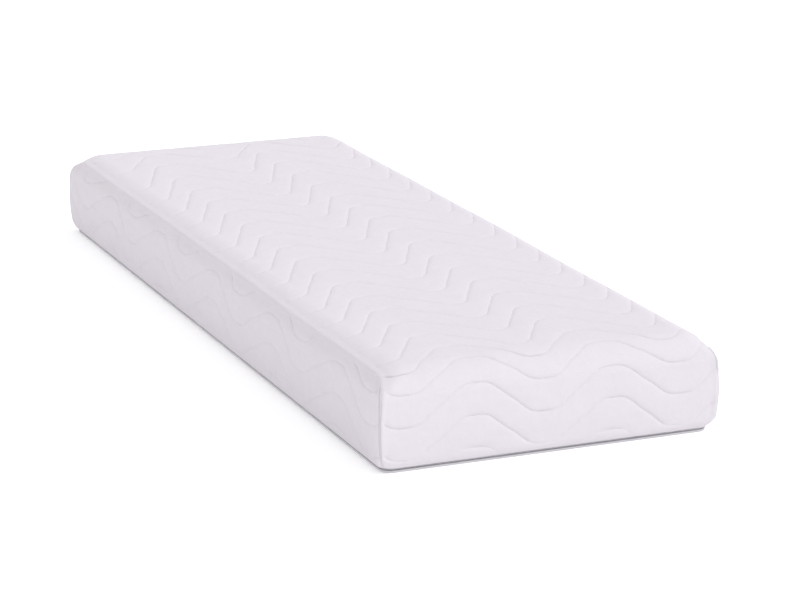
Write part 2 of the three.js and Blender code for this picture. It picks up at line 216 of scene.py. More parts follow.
class Skin:
    """The cover's smooth outside, or the straight-walled room inside it.

    A place on it is a distance s along the cloth, from the hem (s = 0) up and
    over the top edge, and a share of the way across.
    """

    def __init__(self, rolled, corner, bulge):
        self.rolled = rolled
        self.corner = corner
        self.bulge = bulge
        s = np.linspace(0, ROLL_END, PROFILE_STEPS)
        out, z, roll, low, _ = self.profile(s, HALF_LENGTH)
        depth = SEAM_SHARE * self.bend_radius(roll, low)
        self.seam_z = z - depth * np.sin(roll)
        self.seam_y = out - depth * np.cos(roll)

    def roll_in(self, low):
        return BOTTOM_ROLL * (1 - np.cos(low)) if self.rolled else 0 * low

    def tuck(self, low, wall):
        """How far a wall stands in from the outline: below zero where it bellies out."""
        return self.roll_in(low) - self.bulge * np.sin(math.pi * wall / WALL_HEIGHT)

    def profile(self, s, half):
        """The outline of a mattress of that half size.

        Gives how far out it is, its height, the angles by which the top and the
        lower edge have rolled over there, and the tuck.
        """
        low = np.clip(HEM_ANGLE - s / BOTTOM_ROLL, 0, HEM_ANGLE)
        roll = np.clip((s - ROLL_START) / TOP_ROLL, 0, math.pi / 2)
        wall = np.clip(s - LOW_ARC, 0, WALL_HEIGHT)
        tuck = self.tuck(low, wall) + np.clip(-s, 0, None)
        out = half - tuck - TOP_ROLL * (1 - np.cos(roll)) - np.clip(s - ROLL_END, 0, None)
        drop = np.sin(low) if self.rolled else STRAIGHT_DROP * low
        z = BOTTOM_ROLL * (1 - drop) + wall + TOP_ROLL * np.sin(roll)
        return out, z, roll, low, tuck

    def bend_radius(self, roll, low):
        """Radius of the bend between the top cloth and a side panel."""
        upper = mix(self.corner, TOP_ROLL, smooth(0, ROUNDING_ANGLE, roll))
        return upper + (BASE_CORNER - self.corner) * low / HEM_ANGLE - self.roll_in(low)

    def top_point(self, u, s):
        """A point of the cloth that covers the top and both ends. u runs across, -1 to 1."""
        near = np.minimum(s, CLOTH_LENGTH - s)
        end = np.where(s < CLOTH_LENGTH / 2, -1.0, 1.0)
        out, z, roll, low, tuck = self.profile(near, HALF_LENGTH)
        radius = self.bend_radius(roll, low)
        flat = HALF_WIDTH - tuck - radius
        across = u * (flat + radius * math.pi / 4)
        bend = np.clip((np.abs(across) - flat) / radius, 0, None)
        x = np.sign(u) * (np.minimum(np.abs(across), flat) + radius * np.sin(bend))
        depth = radius * (1 - np.cos(bend))
        y = end * (out - depth * np.cos(roll))
        z = z - depth * np.sin(roll)
        return np.stack([x, y, crown(x, y, z)], -1)

    def side_out(self, y, z):
        """How far out a long side is at a place on it."""
        low = np.arcsin(np.clip((BOTTOM_ROLL - z) / BOTTOM_ROLL, 0, 1))
        tuck = self.tuck(low, np.clip(z - BOTTOM_ROLL, 0, WALL_HEIGHT))
        over_y = np.abs(y) - (HALF_LENGTH - TOP_ROLL)
        over_z = z - WALL_TOP
        corner = (over_y > 0) & (over_z > 0)
        roll = np.where(corner, np.arctan2(over_z, np.maximum(over_y, NEVER_ZERO)), 0)
        roll = np.where((over_y <= 0) & (over_z > 0), math.pi / 2, roll)
        depth = np.where(over_z > 0, HEIGHT - z, HALF_LENGTH - tuck - np.abs(y))
        depth = np.where(corner, TOP_ROLL - np.hypot(over_y, over_z), depth)
        radius = self.bend_radius(roll, low)
        inside = np.clip(radius - depth, 0, radius)
        return HALF_WIDTH - tuck - radius + np.sqrt(radius ** 2 - inside ** 2)

    def side_point(self, t, s, side):
        """A point of a long side's panel. t runs from -1 at the foot to 1 at the head."""
        _, z, _, _, _ = self.profile(s, HALF_WIDTH)
        fold = np.clip(-s, 0, None)
        y = t * (np.interp(z, self.seam_z, self.seam_y) - fold)
        x = side * (self.side_out(y, z) - fold)
        return np.stack([x, y, crown(x, y, z)], -1)


OUTSIDE = Skin(True, CORNER_RADIUS, WALL_BULGE)
INSIDE = Skin(False, BASE_CORNER, 0.0)


def normals_of(surface, a, b, outward):
    """Unit normals of a surface given as a function of two coordinates."""
    step_a, step_b = NORMAL_STEPS
    along = surface(a + step_a, b) - surface(a - step_a, b)
    up = surface(a, b + step_b) - surface(a, b - step_b)
    n = np.cross(along, up) * outward
    return n / np.maximum(np.linalg.norm(n, axis=-1, keepdims=True), NEVER_ZERO)


def squeeze(s, low, high, room=HEM_ROOM):
    """Keeps s between two hems: rows beyond a hem crowd up against it."""
    s = np.where(s < low + room, low + room * np.exp((s - low - room) / room), s)
    return np.where(s > high - room, high - room * np.exp((high - room - s) / room), s)


# ---- meshes --------------------------------------------------------------------


def new_piece(name, points, faces):
    mesh = bpy.data.meshes.new(name)
    mesh.from_pydata(np.asarray(points).reshape(-1, 3).tolist(), [], faces)
    mesh.shade_smooth()
    piece = bpy.data.objects.new(name, mesh)
    bpy.context.scene.collection.objects.link(piece)
    return piece


def face_outwards(piece):
    """Turns the faces of a closed mesh to point out."""
    shape = bmesh.new()
    shape.from_mesh(piece.data)
    bmesh.ops.recalc_face_normals(shape, faces=shape.faces)
    shape.to_mesh(piece.data)
    shape.free()
    piece.data.update()
    return piece


def grid_faces(index, flip=False):
    quads = np.stack([index[:-1, :-1], index[:-1, 1:], index[1:, 1:], index[1:, :-1]], -1)
    return (quads[..., ::-1] if flip else quads).reshape(-1, 4).tolist()


def grid_mesh(name, points, flip):
    """An open mesh from a grid of points, rows first."""
    index = np.arange(points[..., 0].size).reshape(points.shape[:2])
    return new_piece(name, points, grid_faces(index, flip))


def layer_mesh(name, outer, inner):
    """A closed layer between two grids of points."""
    front = np.arange(outer[..., 0].size).reshape(outer.shape[:2])
    back = front + front.size
    faces = grid_faces(front) + grid_faces(back, True)
    rims = [
        np.concatenate([g[0, :-1], g[:-1, -1], g[-1, :0:-1], g[:0:-1, 0]]) for g in (front, back)
    ]
    rims = np.stack([np.append(rim, rim[0]) for rim in rims])
    faces += grid_faces(rims)
    return face_outwards(new_piece(name, np.concatenate([outer, inner]), faces))


RING_CORNER_STEPS = 12
RING_LONG_STEPS = 40
RING_SHORT_STEPS = 14


def ring(offset, corner=BASE_CORNER):
    """Points round the mattress, in from its outline, and the way out at each."""
    points, outwards = [], []
    centre = np.array([HALF_WIDTH - corner, HALF_LENGTH - corner])
    for quarter in range(4):
        turns = (quarter + np.linspace(0, 1, RING_CORNER_STEPS)) * math.pi / 2
        way = np.stack([np.cos(turns), np.sin(turns)], -1)
        signs = np.array([1 if quarter in (0, 3) else -1, 1 if quarter < 2 else -1])
        arc = signs * centre + (corner - offset) * way
        steps = RING_LONG_STEPS if quarter % 2 else RING_SHORT_STEPS
        run = 2 * centre[0 if quarter % 2 == 0 else 1]
        ahead = np.array([-way[-1][1], way[-1][0]])
        shares = np.arange(1, steps)[:, None] / steps
        points += [arc, arc[-1] + ahead * run * shares]
        outwards += [way, np.repeat(way[-1:], steps - 1, 0)]
    return np.concatenate(points), np.concatenate(outwards)


def ring_rows(levels, roll=TOP_ROLL):
    """Rings of points through levels of (offset, height, corner radius)."""
    rows = []
    for offset, z, corner in levels:
        points, _ = ring(offset, corner)
        rows.append(np.column_stack([points, crown(points[:, 0], points[:, 1], z, roll)]))
    return np.stack(rows)


def closed_rows(rows):
    index = np.arange(rows[..., 0].size).reshape(rows.shape[:2])
    return np.concatenate([index, index[:, :1]], 1)


def cap_faces(points):
    """Faces that close a ring, each from one long side straight over to the other."""
    count = len(points)
    middle = RING_CORNER_STEPS + RING_SHORT_STEPS // 2 - 1
    steps = range(count // 2 + 1)
    pairs = [(points[(middle - k) % count], points[(middle + k) % count]) for k in steps]
    faces = [(a, b, d, c) for (a, c), (b, d) in zip(pairs, pairs[1:])]
    return [tuple(dict.fromkeys(face)) for face in faces]


def stack_mesh(name, levels, roll=TOP_ROLL):
    """A closed body through a stack of rings."""
    rows = ring_rows(levels, roll)
    index = closed_rows(rows)
    caps = cap_faces(index[0, :-1].tolist()) + cap_faces(index[-1, :-1].tolist())
    return face_outwards(new_piece(name, rows, grid_faces(index) + caps))


def sweep_mesh(name, section):
    """A closed section of (offset, height), carried all round the mattress."""
    rows = ring_rows([(offset, z, BASE_CORNER) for offset, z in section])
    index = closed_rows(rows)
    index = np.concatenate([index, index[:1]], 0)
    return face_outwards(new_piece(name, rows, grid_faces(index)))


# ---- quilted panels ----------------------------------------------------------


def line_middles(pitch_at, length):
    """Where the middle of each line of stitching is, from one hem to past the other."""
    middles = [FIRST_LINE - END_PITCH]
    while middles[-1] < length + 2 * TOP_SWING:
        middles.append(middles[-1] + float(pitch_at(middles[-1])))
    return np.array(middles)


def even_shares(count):
    return np.arange(count) / count


def close_shares(count):
    """Shares of the way between two lines of stitching, crowded up against both."""
    half = 0.5 * (np.arange(count // 2) / (count // 2)) ** CROWDING
    return np.concatenate([half, [0.5], 1 - half[:0:-1]])


def uneven(start, end, bends):
    """Places from start to end, close together over the bends and wide apart elsewhere."""
    places = np.arange(start, end, BEND_STEP)
    kept = np.arange(len(places)) % BEND_STEPS == 0
    for low, high in bends:
        kept |= (places >= low) & (places <= high)
    return np.append(places[kept], end)


def on_top(s):
    """0 on the ends of the mattress, 1 on its top."""
    return smooth(TURN_START, TURN_END, s) * smooth(TURN_START, HEAD_TURN_END, CLOTH_LENGTH - s)


def along_bed(s):
    return s - ROLL_END + TOP_ROLL


def top_pitch(s):
    return mix(END_PITCH, TOP_PITCH + TOP_PITCH_GROWTH * along_bed(s), on_top(s))


def top_rows(x, s):
    """Bends level rows into the top's slanting waves."""
    share = on_top(s)
    swing = mix(END_SWING, TOP_SWING + TOP_SWING_GROWTH * along_bed(s), share)
    crest = mix(END_CREST, TOP_CREST, share)
    slant = smooth(TURN_START, TURN_END, s) * smooth(0, HEAD_SLANT_END, CLOTH_LENGTH - s)
    slant = slant * (TOP_SLANT + TOP_SLANT_GROWTH * along_bed(s))
    return s + swing * wave((x - crest) / WAVELENGTH, TOP_SKEW * share) + slant * x


def side_rows(y, s):
    return s + END_SWING * wave((y - SIDE_CREST) / SIDE_WAVELENGTH, SIDE_SKEW)


class Panel:
    """One panel of the cover: its outside, its inside and its rows of stitching."""

    def __init__(self, name, surfaces, bend_rows, middles, length, reach, outward):
        self.name = name
        self.outside, self.inside = surfaces
        self.bend_rows = bend_rows
        self.middles = middles
        self.length = length        # of the cloth, from its first edge to its last
        self.reach = reach          # half its width, in metres
        self.outward = outward
        self.last_hem = name == "top"       # its last edge is a hem too, not a seam

    def grid(self, shares, columns):
        """Places of a grid's points: across (-1 to 1), along in metres, and in lines."""
        gaps = np.diff(self.middles)
        rows = (self.middles[:-1, None] + gaps[:, None] * shares).ravel()
        lines = (np.arange(len(gaps))[:, None] + shares).ravel()
        across = np.linspace(-1, 1, columns)
        beside = 1 - np.array(EDGE_COLUMNS) / self.reach
        across = np.sort(np.concatenate([across, beside, -beside]))[None, :]
        last = self.length + HEM_FOLD * self.last_hem
        s = squeeze(self.bend_rows(across * self.reach, rows[:, None]), -HEM_FOLD, last)
        return np.broadcast_to(across, s.shape), s, np.broadcast_to(lines[:, None], s.shape)

    def stitch_share(self, across, s):
        """How deep the quilting is: nothing at a hem or a seam."""
        last = smooth(*(HEM_FADE if self.last_hem else TOP_EDGE_FADE), self.length - s)
        beside = smooth(*SEAM_FADE, (1 - np.abs(across)) * self.reach)
        return smooth(*HEM_FADE, s) * last * beside

    def layer(self, name, outer_depth, inner_depth, outer_inside=False):
        """A closed layer of the quilt between two depths, clear of the zip tape."""
        last = self.length - (FILL_START if self.last_hem else LAYER_TOP_GAP)
        bends = [(0, LOW_ARC + BEND_ROOM), (ROLL_START - BEND_ROOM, ROLL_END + BEND_ROOM)]
        if self.last_hem:
            bends += [(CLOTH_LENGTH - high, CLOTH_LENGTH - low) for low, high in bends]
        s = uneven(FILL_START, last, bends)[:, None]
        beside = self.reach - TOP_ROLL - BEND_ROOM
        reach = LAYER_REACH * self.reach
        across = uneven(-reach, reach, [(-reach, -beside), (beside, reach)])[None, :] / self.reach
        across, s = np.broadcast_arrays(across, s)
        sides = []
        for surface, depth in (
            (self.inside if outer_inside else self.outside, outer_depth),
            (self.inside, inner_depth),
        ):
            n = normals_of(surface, across, s, self.outward)
            sides.append(surface(across, s) - n * depth)
        return layer_mesh(name, *sides)

    def uphill(self, s):
        """1 where s runs up a wall, -1 where it runs down one, 0 on the top."""
        if not self.last_hem:
            return np.ones_like(s)
        return (1 - on_top(s)) * np.where(s < self.length / 2, 1.0, -1.0)

    def seam_groove(self, across, s):
        """1 at a corner seam and less at a top edge's, fading out beside it."""
        near = np.minimum(s, self.length - s) if self.last_hem else s
        share = mix(1, EDGE_SEAM_SHARE, smooth(ROLL_START, SIDE_HEIGHT, near))
        groove = share * np.exp(-(1 - np.abs(across)) * self.reach / SEAM_WIDTH)
        if not self.last_hem:
            edge = EDGE_SEAM_SHARE * np.exp(-(self.length - s) / SEAM_WIDTH)
            groove = np.maximum(groove, edge)
        return groove * smooth(0, GROOVE_FADE, s)

    def distances(self, across, s, lines):
        """Distance over the cloth to the nearest line of stitching, along it, and its slope."""
        slope = np.gradient(s, axis=1) / np.gradient(across * self.reach, axis=1)
        last = len(self.middles) - 2
        pitch = np.diff(self.middles)[np.clip(lines.astype(int), 0, last)]
        away = (lines - np.round(lines)) * pitch / np.sqrt(1 + slope ** 2)
        steps = np.hypot(np.diff(across * self.reach, axis=1), np.diff(s, axis=1))
        return away, np.pad(np.cumsum(steps, axis=1), ((0, 0), (1, 0))), slope


def top_panel():
    surfaces = (OUTSIDE.top_point, INSIDE.top_point)
    middles = line_middles(top_pitch, CLOTH_LENGTH)
    reach = HALF_WIDTH - TOP_ROLL * (1 - math.pi / 4)
    return Panel("top", surfaces, top_rows, middles, CLOTH_LENGTH, reach, 1)


def side_panel(name, side):
    surfaces = [lambda t, s, skin=skin: skin.side_point(t, s, side) for skin in (OUTSIDE, INSIDE)]
    middles = line_middles(lambda s: END_PITCH, SIDE_HEIGHT)
    return Panel(name, surfaces, side_rows, middles, SIDE_HEIGHT, HALF_LENGTH, side)


def swell(panel, columns):
    """How far each point of a coarse grid swells between its stitched lines, 0 to 1.

    A cloth simulation: the lines of stitching and the panel's edges are pinned,
    and air pressure stands for the wadding.
    """
    across, s, lines = panel.grid(even_shares(SIM_SUB_ROWS), columns)
    start = panel.outside(across, s)
    normal = normals_of(panel.outside, across, s, panel.outward).reshape(-1, 3)
    piece = grid_mesh("simulated", start, panel.outward < 0)
    pins = (lines == np.round(lines)) | (s < PIN_EDGE) | (panel.length - s < PIN_EDGE)
    pins[:, 0] = pins[:, -1] = True
    group = piece.vertex_groups.new(name="stitched")
    group.add(np.flatnonzero(pins).tolist(), 1.0, "REPLACE")
    cloth = piece.modifiers.new("swell", "CLOTH")
    settings = cloth.settings
    settings.vertex_group_mass = "stitched"
    settings.use_pressure = True
    settings.uniform_pressure_force = PRESSURE
    settings.effector_weights.gravity = 0
    settings.mass = CLOTH_MASS
    settings.tension_stiffness = CLOTH_STIFFNESS
    settings.compression_stiffness = CLOTH_STIFFNESS
    settings.shear_stiffness = CLOTH_STIFFNESS / 2
    settings.bending_stiffness = CLOTH_BENDING
    settings.air_damping = CLOTH_DAMPING
    settings.shrink_min = settings.shrink_max = -CLOTH_SLACK
    cloth.collision_settings.use_collision = False
    for number in range(1, SWELL_FRAMES + 1):
        bpy.context.scene.frame_set(number)
    swollen = piece.evaluated_get(bpy.context.evaluated_depsgraph_get())
    moved = np.array([v.co for v in swollen.data.vertices]) - start.reshape(-1, 3)
    bpy.context.scene.frame_set(1)
    rise = np.clip((moved * normal).sum(-1), 0, None).reshape(s.shape)
    bpy.data.objects.remove(piece)
    return np.tanh(rise / SWELL_CAP), lines[:, 0], across[0]


def resample(values, rows, columns, new_rows, new_columns):
    """A field on one grid, read on another."""
    tall = np.stack([np.interp(new_rows, rows, column) for column in values.T], -1)
    return np.stack([np.interp(new_columns, columns, row) for row in tall])


def puckers(along, lines):
    """Small wrinkles that cross the stitching, -1 to 1, different on every line."""
    line = np.round(lines)
    total = 0
    for number, length in enumerate(PUCKER_LENGTHS):
        phase = (number + 1) * line * PUCKER_TURN + PUCKER_START * number
        swing = 1 + 0.5 * np.sin(along / (PUCKER_BEAT * length) + phase)
        total = total + swing * np.sin(2 * math.pi * along / length + phase)
    return total / (1.5 * len(PUCKER_LENGTHS))


def stitch_depth(slope, top_share):
    """Depth of the crease on the long cloth, which pulls in less on one flank of a wave."""
    flank = np.tanh(slope / FLANK_SLOPE)
    on_end = END_STITCH * (1 - END_FADE * np.clip(flank, 0, 1))
    return mix(on_end, TOP_STITCH * (1 - TOP_FADE * np.clip(-flank, 0, 1)), top_share)


def quilted_panel(panel, columns, sim_columns):
    """The face cloth of a panel, drawn in along its stitching and swollen between."""
    across, s, lines = panel.grid(close_shares(FINE_SUB_ROWS), columns)
    outer = panel.outside(across, s)
    normal = normals_of(panel.outside, across, s, panel.outward)
    away, along, flank = panel.distances(across, s, lines)
    field, field_rows, field_columns = swell(panel, sim_columns)
    rise = resample(field, field_rows, field_columns, lines[:, 0], across[0])
    slope = np.sign(away) * panel.uphill(s)
    away = np.abs(away)
    width = np.where(
        slope > 0, mix(STITCH_LEVEL, STITCH_ABOVE, slope), mix(STITCH_LEVEL, STITCH_BELOW, -slope),
    )
    depth = stitch_depth(flank, on_top(s)) if panel.last_hem else SIDE_STITCH
    wrinkle = np.exp(-away / PUCKER_REACH) * (1 + puckers(along, lines)) / 2
    sink = depth * np.exp(-away / width) + PILLOW_DEPTH * (1 - rise)
    sink = panel.stitch_share(across, s) * (sink + PUCKER_DEPTH * wrinkle)
    sink = sink + SEAM_DEPTH * panel.seam_groove(across, s)
    name = f"quilt_{panel.name}"
    piece = grid_mesh(name, outer - normal * sink[..., None], panel.outward < 0)
    for label, values in (("stitch_away", away), ("stitch_along", along)):
        attribute = piece.data.attributes.new(label, "FLOAT", "POINT")
        attribute.data.foreach_set("value", values.astype(np.float32).ravel())
    return piece


# ---- materials -----------------------------------------------------------------

RECORD_COLOURS = {m["slot"]: m["base_color"] for m in frame["record"]["materials"]}


def linear(value):
    """A colour value of the record, as the shader counts it."""
    return value / 12.92 if value <= 0.04045 else ((value + 0.055) / 1.055) ** 2.4


class Finish:
    """A procedural material for one of the record's slots."""

    def __init__(self, slot, shade=(0.8, 0.8, 0.8), metallic=0.0, roughness=0.9, specular=0.2,
                 sheen=0.0, anisotropy=0.0):
        self.material = bpy.data.materials.new(slot)
        self.material.use_nodes = True
        self.tree = self.material.node_tree
        self.shader = self.tree.nodes["Principled BSDF"]
        values = {
            "Metallic": metallic, "Roughness": roughness, "Specular IOR Level": specular,
            "Sheen Weight": sheen, "Sheen Roughness": 0.5, "Anisotropic": anisotropy,
        }
        for socket, value in values.items():
            self.shader.inputs[socket].default_value = value
        self.place = self.tree.nodes.new("ShaderNodeTexCoord").outputs["Object"]
        rgb = [linear(c) * k for c, k in zip(RECORD_COLOURS[slot], shade)]
        self.colour = self.node("ShaderNodeRGB").outputs[0]
        self.colour.default_value = (*rgb, 1)
        self.normal = None

    def node(self, kind, inputs=(), **settings):
        node = self.tree.nodes.new(kind)
        for name, value in settings.items():
            setattr(node, name, value)
        for name, value in dict(inputs).items():
            if isinstance(value, bpy.types.NodeSocket):
                self.tree.links.new(value, node.inputs[name])
            else:
                node.inputs[name].default_value = value
        return node

    def math(self, operation, *values, clamp=False):
        inputs = dict(enumerate(values))
        return self.node("ShaderNodeMath", inputs, operation=operation, use_clamp=clamp).outputs[0]

    def stretched(self, stretch):
        inputs = {"Vector": self.place, "Scale": stretch}
        return self.node("ShaderNodeMapping", inputs).outputs[0]

    def noise(self, size, stretch=(1, 1, 1), detail=2.0):
        inputs = {"Vector": self.stretched(stretch), "Scale": 1 / size, "Detail": detail}
        return self.node("ShaderNodeTexNoise", inputs).outputs["Fac"]

    def cells(self, size, stretch=(1, 1, 1), disorder=1.0):
        inputs = {"Vector": self.stretched(stretch), "Scale": 1 / size, "Randomness": disorder}
        return self.node("ShaderNodeTexVoronoi", inputs).outputs["Distance"]

    def ribs(self, size, direction):
        inputs = {"Vector": self.place, "Scale": 0.3142 / size, "Distortion": 0.0}
        settings = {"wave_type": "BANDS", "bands_direction": direction}
        return self.node("ShaderNodeTexWave", inputs, **settings).outputs["Fac"]

    def tint(self, pattern, strength, level=0.5):
        """Lightens the colour where a pattern is above a level, and darkens it below."""
        change = self.math("MULTIPLY_ADD", pattern, strength, 1 - strength * level)
        inputs = {0: self.colour, "Scale": change}
        self.colour = self.node("ShaderNodeVectorMath", inputs, operation="SCALE").outputs[0]
        return self

    def bump(self, pattern, height):
        inputs = {"Height": pattern, "Distance": height, "Strength": 1.0}
        if self.normal:
            inputs["Normal"] = self.normal
        self.normal = self.node("ShaderNodeBump", inputs).outputs[0]
        return self

    def done(self):
        self.tree.links.new(self.colour, self.shader.inputs["Base Color"])
        self.tree.links.new(self.normal, self.shader.inputs["Normal"])
        return self.material


def knit():
    look = Finish("knit", shade=KNIT_SHADE, roughness=0.85, specular=0.2, sheen=0.08)
    look.tint(look.noise(0.055), 0.035).tint(look.noise(0.007, detail=3.0), 0.03)
    loops = look.cells(0.0017, (1, 0.8, 1.15), disorder=0.4)
    look.tint(loops, -0.06).bump(look.noise(0.034, detail=1.0), 0.0016)
    look.bump(look.noise(0.012), 0.0006).bump(loops, 0.00025)
    away = look.node("ShaderNodeAttribute", attribute_name="stitch_away").outputs["Fac"]
    along = look.node("ShaderNodeAttribute", attribute_name="stitch_along").outputs["Fac"]
    turns = look.math("MULTIPLY", along, 2 * math.pi / STITCH_LENGTH)
    dashes = look.math("ADD", look.math("SINE", turns), 0.55, clamp=True)
    near = look.math("SUBTRACT", 1.0, look.math("DIVIDE", away, THREAD_WIDTH), clamp=True)
    thread = look.math("MULTIPLY", dashes, near)
    return look.tint(thread, 0.10, 0.0).bump(thread, 0.0004).done()


def fill():
    look = Finish("wadding", roughness=1.0, specular=0.1, sheen=0.2)
    fibres = look.noise(0.004, (1, 0.35, 1), 6.0)
    return look.tint(fibres, 0.15).bump(fibres, 0.0015).done()


def backing():
    look = Finish("backing", roughness=0.95, specular=0.15)
    dots = look.cells(0.0032)
    return look.tint(dots, 0.10).bump(dots, 0.0003).bump(look.noise(0.001), 0.0001).done()


def foam(slot, pore):
    look = Finish(slot, roughness=0.95, specular=0.15, sheen=0.05)
    pores = look.cells(pore)
    look.tint(pores, 0.16).tint(look.noise(0.05), 0.03)
    return look.bump(pores, 0.0006).bump(look.noise(0.02), 0.0008).done()


def woven(slot, size, roughness, specular, anisotropy=0.0, sheen=0.05, shade=(1, 1, 1)):
    look = Finish(
        slot, shade=shade, roughness=roughness, specular=specular, anisotropy=anisotropy,
        sheen=sheen,
    )
    yarns = look.math("MULTIPLY", look.ribs(size, "X"), look.ribs(size, "Y"))
    yarns = look.math("ADD", yarns, look.ribs(size, "Z"))
    look.tint(yarns, 0.08).tint(look.noise(0.03), 0.04)
    return look.bump(yarns, size * 0.15).done()


def glue():
    look = Finish("bond", roughness=0.55, specular=0.4)
    blobs = look.noise(0.012, detail=4.0)
    return look.tint(blobs, 0.18).bump(blobs, 0.001).done()


def coil():
    look = Finish("zip_coil", shade=(1, 1, 1), roughness=0.38, specular=0.5)
    mottle = look.noise(0.0015)
    return look.tint(mottle, 0.06).bump(mottle, 0.0001).done()


def metal():
    look = Finish("zip_metal", metallic=1.0, roughness=0.32, specular=0.5, anisotropy=0.3)
    brushed = look.noise(0.0006, (1, 0.1, 1), 3.0)
    return look.tint(brushed, 0.10).bump(brushed, 0.00004).done()


KNIT_SHADE = (0.742, 0.737, 0.741)      # of the record's colour
LABEL_SHADE = (0.70, 0.70, 0.70)
STITCH_LENGTH = 0.0042
THREAD_WIDTH = 0.0008

MATERIALS = {
    "knit": knit(),
    "wadding": fill(),
    "backing": backing(),
    "seam_thread": woven(
        "seam_thread", size=0.0011, roughness=0.85, specular=0.2, shade=KNIT_SHADE,
    ),
    "memory_foam": foam("memory_foam", pore=0.0012),
    "support_foam": foam("support_foam", pore=0.0021),
    "bond": glue(),
    "bottom_cloth": woven("bottom_cloth", size=0.0015, roughness=0.9, specular=0.2),
    "zip_tape": woven("zip_tape", size=0.0009, roughness=0.85, specular=0.25),
    "zip_coil": coil(),
    "zip_metal": metal(),
    "label": woven(
        "label", size=0.0005, roughness=0.4, specular=0.45, anisotropy=0.5, sheen=0.3,
        shade=LABEL_SHADE,
    ),
}


def finish_piece(piece, body, slot, *nodes):
    """Gives a piece its body and its slot's material, and hides the CAD nodes it stands for."""
    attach(piece, body)
    piece.data.materials.append(MATERIALS[slot])
    if nodes:
        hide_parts(*nodes)
    return piece


# ---- the cover -----------------------------------------------------------------

SEAM_STEPS = 90
SEAM_BODY = 0.0022          # height of a seam's ridge
SEAM_END_GAPS = (0.004, 0.006)      # of a corner seam, from the hem and from the top edge
TAB_START = ROLL_START - 0.026      # the tab that the turned-in seam makes near its top
TAB_END = SIDE_HEIGHT - 0.012
TAB_FADES = (0.020, 0.006)          # over which it rises and falls
CORNER_SEAM_WIDTH = 0.0024
TAB_WIDTH = 0.0016                  # added by the tab
CORNER_SEAM_RISE = 0.0001
TAB_RISE = 0.0010
EDGE_SEAM_WIDTH = 0.0013
SEAM_SECTION = (
    (-0.9, -0.2), (-1.0, 0.3), (-0.8, 0.75), (-0.5, 0.6), (-0.3, 0.95),
    (0.0, 1.0), (0.3, 0.95), (0.5, 0.6), (0.8, 0.75), (1.0, 0.3), (0.9, -0.2),
)


def seam_mesh(name, line, width, rise, run):
    """A sewn ridge along a line on the cover, with a groove of stitching on each side.

    line gives a point for each place of run, and rise the ridge's height there.
    """
    middle = line(run)
    ahead = np.gradient(middle, axis=0)
    ahead /= np.linalg.norm(ahead, axis=-1, keepdims=True)
    out = line.outward(run)
    side = np.cross(ahead, out)
    side /= np.linalg.norm(side, axis=-1, keepdims=True)
    rows = []
    for across, up in SEAM_SECTION:
        height = (up - 1) * SEAM_BODY + rise(run)
        rows.append(middle + side * (across * width(run))[:, None] + out * height[:, None])
    rows = np.stack(rows)
    index = np.arange(rows[..., 0].size).reshape(rows.shape[:2])
    faces = grid_faces(np.concatenate([index, index[:1]], 0))
    faces += [index[:, 0].tolist(), index[:, -1].tolist()]
    return face_outwards(new_piece(name, rows, faces))


class SeamLine:
    """The line where the top cloth meets a side panel."""

    def __init__(self, side):
        self.side = side

    def __call__(self, s):
        return OUTSIDE.top_point(np.full_like(s, self.side), s)

    def outward(self, s):
        u = np.full_like(s, 0.999 * self.side)
        return normals_of(OUTSIDE.top_point, u, s, 1)


def corner_seam(name, side, end):
    """A corner seam, with the tab that the turned-in seam makes at its top."""
    run = np.linspace(SEAM_END_GAPS[0], SIDE_HEIGHT - SEAM_END_GAPS[1], SEAM_STEPS)

    def tab(s):
        near = np.minimum(s, CLOTH_LENGTH - s)
        started = smooth(TAB_START, TAB_START + TAB_FADES[0], near)
        return started * smooth(TAB_END + TAB_FADES[1], TAB_END, near)

    def rise(s):
        return CORNER_SEAM_RISE + TAB_RISE * tab(s)

    def width(s):
        return CORNER_SEAM_WIDTH + TAB_WIDTH * tab(s)

    if end > 0:
        run = CLOTH_LENGTH - run[::-1]
    return seam_mesh(name, SeamLine(side), width, rise, run)


def edge_seam(name, side):
    """The seam along a long top edge, sunk in its groove."""
    start = SIDE_HEIGHT + SEAM_END_GAPS[0]
    run = np.linspace(start, CLOTH_LENGTH - start, 6 * SEAM_STEPS)
    top = -SEAM_DEPTH * EDGE_SEAM_SHARE / 2

    def width(s):
        return np.full_like(s, EDGE_SEAM_WIDTH)

    def rise(s):
        return np.full_like(s, top)

    return seam_mesh(name, SeamLine(side), width, rise, run)


def build_cover():
    panels = (top_panel(), side_panel("left", -1), side_panel("right", 1))
    for side_name, side in (("left", -1), ("right", 1)):
        edge = edge_seam(f"seam_edge_{side_name}", side)
        finish_piece(edge, "cover", "seam_thread", f"edge_seam_{side_name}")
        for end_name, end in (("foot", -1), ("head", 1)):
            seam = corner_seam(f"seam_{end_name}_{side_name}", side, end)
            node = f"corner_seam_{end_name}_{side_name}"
            finish_piece(seam, "cover", "seam_thread", node)
    for panel in panels:
        whole = panel.last_hem
        columns, sim_columns = (
            (TOP_COLUMNS, SIM_TOP_COLUMNS) if whole else (SIDE_COLUMNS, SIM_SIDE_COLUMNS)
        )
        face = quilted_panel(panel, columns, sim_columns)
        finish_piece(face, "cover", "knit", f"cover_{panel.name}_face")
        stuffing = panel.layer(f"wadding_{panel.name}", FACE_DEPTH, FILL_DEPTH)
        finish_piece(stuffing, "cover", "wadding", f"cover_{panel.name}_wadding")
        lining = panel.layer(f"backing_{panel.name}", BACKING_DEPTH, BACKING_END, True)
        finish_piece(lining, "cover", "backing", f"cover_{panel.name}_backing")


LABEL_ANGLES = (-42, -13)   # degrees round the lower roll, from the hem up
LABEL_GRID = (12, 40)
LABEL_FACES = (0.0007, 0.0003)      # its two sides, out from the cover
LABEL_CURL = 0.0006
LABEL_CURLS = 180           # radians a metre
LABEL_CURL_START = 1.0


